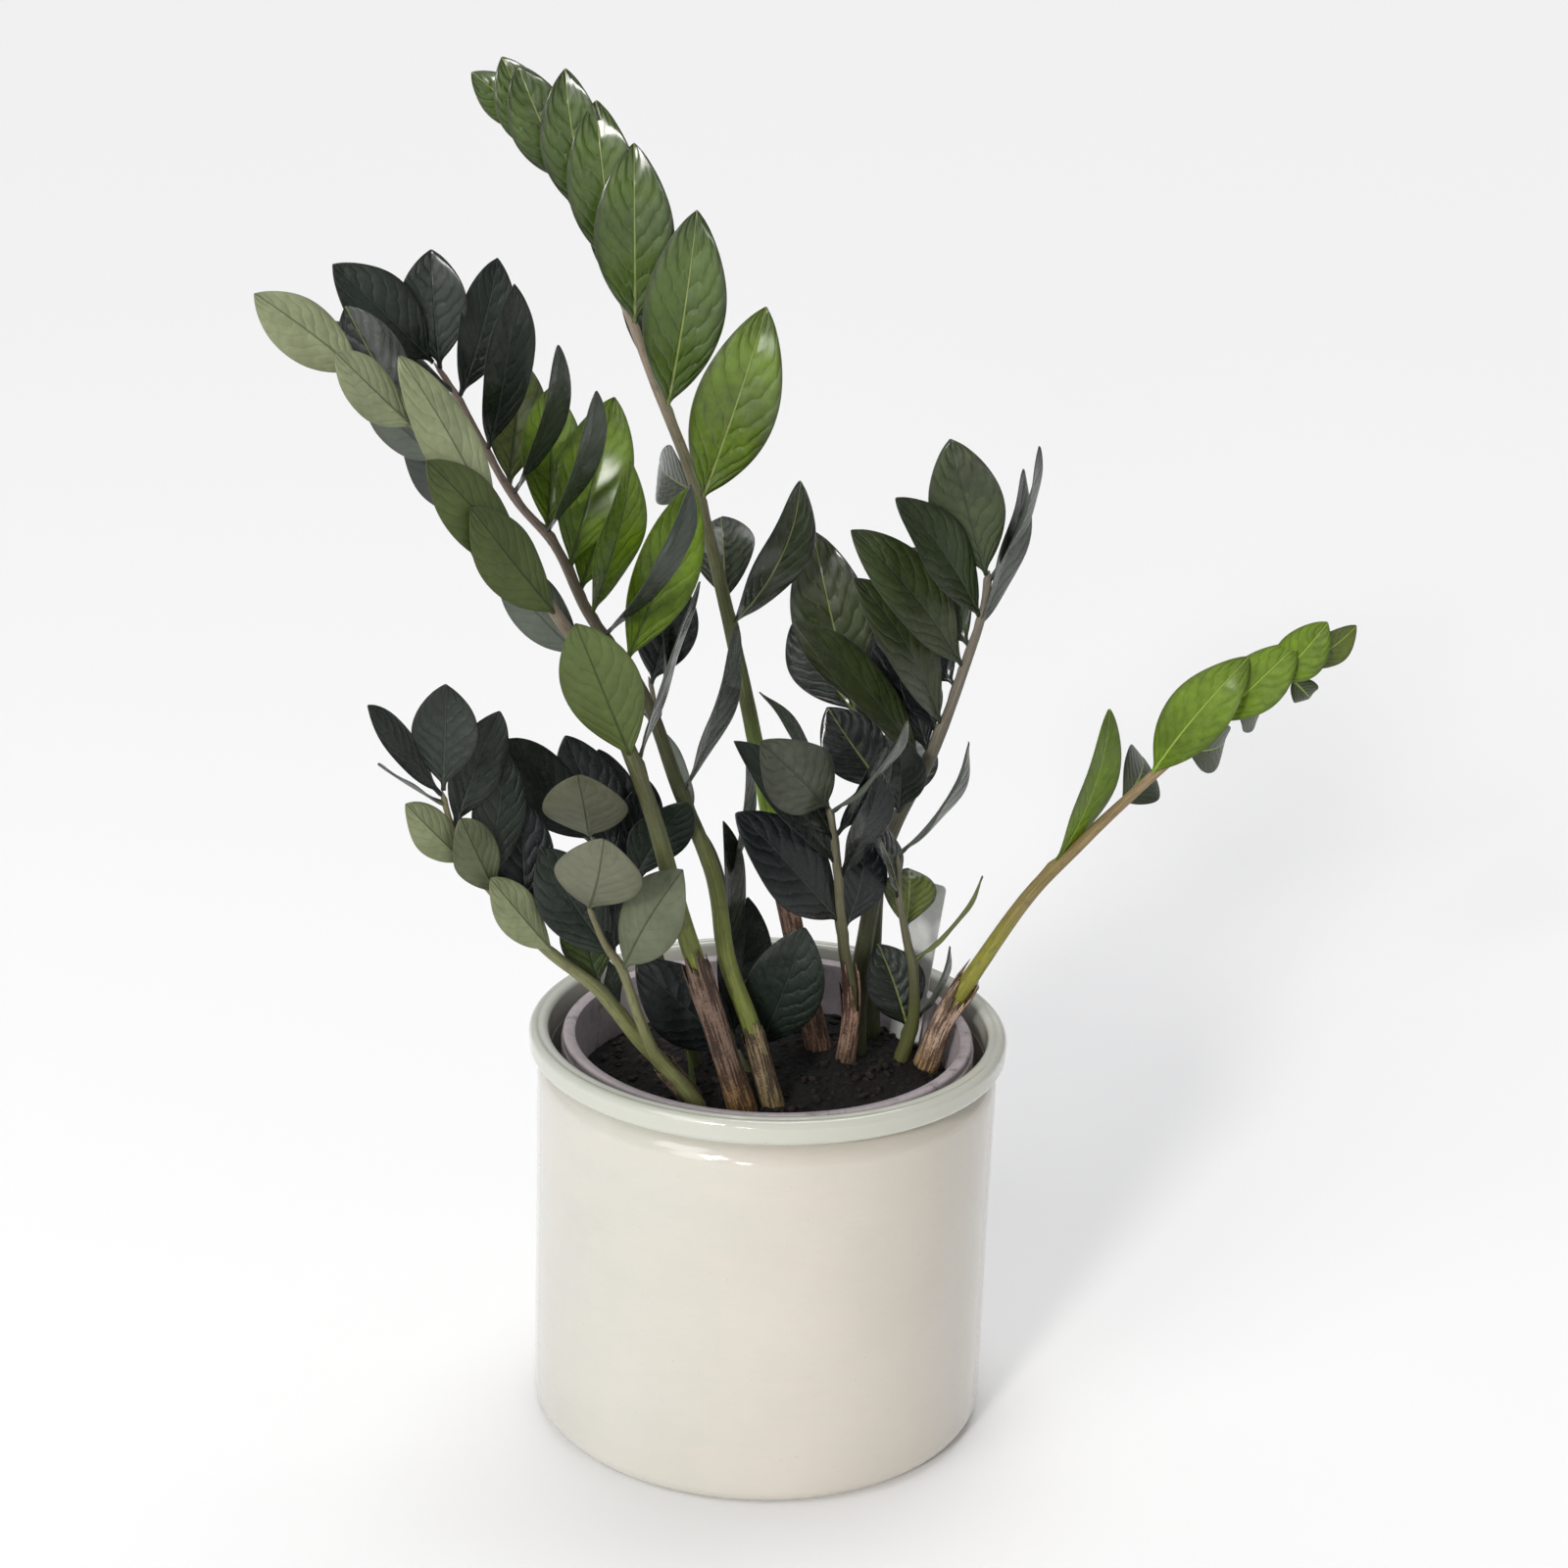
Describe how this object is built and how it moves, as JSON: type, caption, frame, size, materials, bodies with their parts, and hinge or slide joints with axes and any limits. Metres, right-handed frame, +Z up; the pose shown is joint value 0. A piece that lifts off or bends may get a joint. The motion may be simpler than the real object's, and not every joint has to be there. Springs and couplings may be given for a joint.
{
  "type": "potted zz plant",
  "caption": "Clump of glossy arching fronds with paired oval leaflets, growing in peat in a plastic grower's pot that stands inside a round glazed cachepot.",
  "frame": {"origin": "centre of the cachepot's flat underside, on the surface it stands on", "axes": "+Z up, -Y towards the front, +X to the right seen from the front"},
  "size_m": [0.4652, 0.2523, 0.6129],
  "materials": {
    "glaze": "gloss",
    "grower_plastic": "satin",
    "peat": "matte",
    "label_plastic": "satin",
    "stem": "satin",
    "sheath": "matte",
    "leaf_bright": "gloss",
    "leaf_green": "gloss",
    "leaf_dark": "gloss"
  },
  "bodies": {
    "root": {"cachepot": "glaze", "grower_pot": "grower_plastic", "plant_label": "label_plastic", "tall_stem": "stem", "tall_leaf_1": "leaf_green", "tall_leaf_2": "leaf_green", "tall_leaf_3": "leaf_green", "tall_leaf_4": "leaf_green", "tall_leaf_5": "leaf_green", "tall_leaf_6": "leaf_green", "tall_leaf_7": "leaf_green", "tall_leaf_8": "leaf_green", "tall_leaf_9": "leaf_green", "tall_sheath": "sheath", "outer_left_stem": "stem", "outer_left_leaf_1": "leaf_green", "outer_left_leaf_2": "leaf_green", "outer_left_leaf_3": "leaf_green", "outer_left_leaf_4": "leaf_green", "outer_left_leaf_5": "leaf_green", "outer_left_sheath": "sheath", "inner_left_stem": "stem", "inner_left_leaf_1": "leaf_dark", "inner_left_leaf_2": "leaf_dark", "inner_left_leaf_3": "leaf_dark", "inner_left_leaf_4": "leaf_dark", "inner_left_leaf_5": "leaf_dark", "inner_left_leaf_6": "leaf_dark", "right_stem": "stem", "right_leaf_1": "leaf_dark", "right_leaf_2": "leaf_dark", "right_leaf_3": "leaf_dark", "right_leaf_4": "leaf_dark", "right_leaf_5": "leaf_dark", "back_right_stem": "stem", "back_right_leaf_1": "leaf_green", "front_stem": "stem", "front_leaf_1": "leaf_dark", "front_leaf_2": "leaf_dark", "front_leaf_3": "leaf_dark", "front_sheath": "sheath", "slim_stem": "stem", "arching_stem": "stem", "arching_leaf_1": "leaf_bright", "arching_leaf_2": "leaf_bright", "arching_sheath": "sheath", "low_left_stem": "stem", "low_left_leaf_1": "leaf_dark", "low_left_leaf_2": "leaf_dark", "low_left_leaf_3": "leaf_dark", "low_left_sheath": "sheath", "low_front_stem": "stem", "low_front_leaf_1": "leaf_dark", "low_back_stem": "stem", "low_back_leaf_1": "leaf_dark", "back_left_stem": "stem", "shoot_centre_stem": "stem", "shoot_low_stem": "stem", "shoot_upright_stem": "stem", "soil": "peat"}
  },
  "joints": []
}
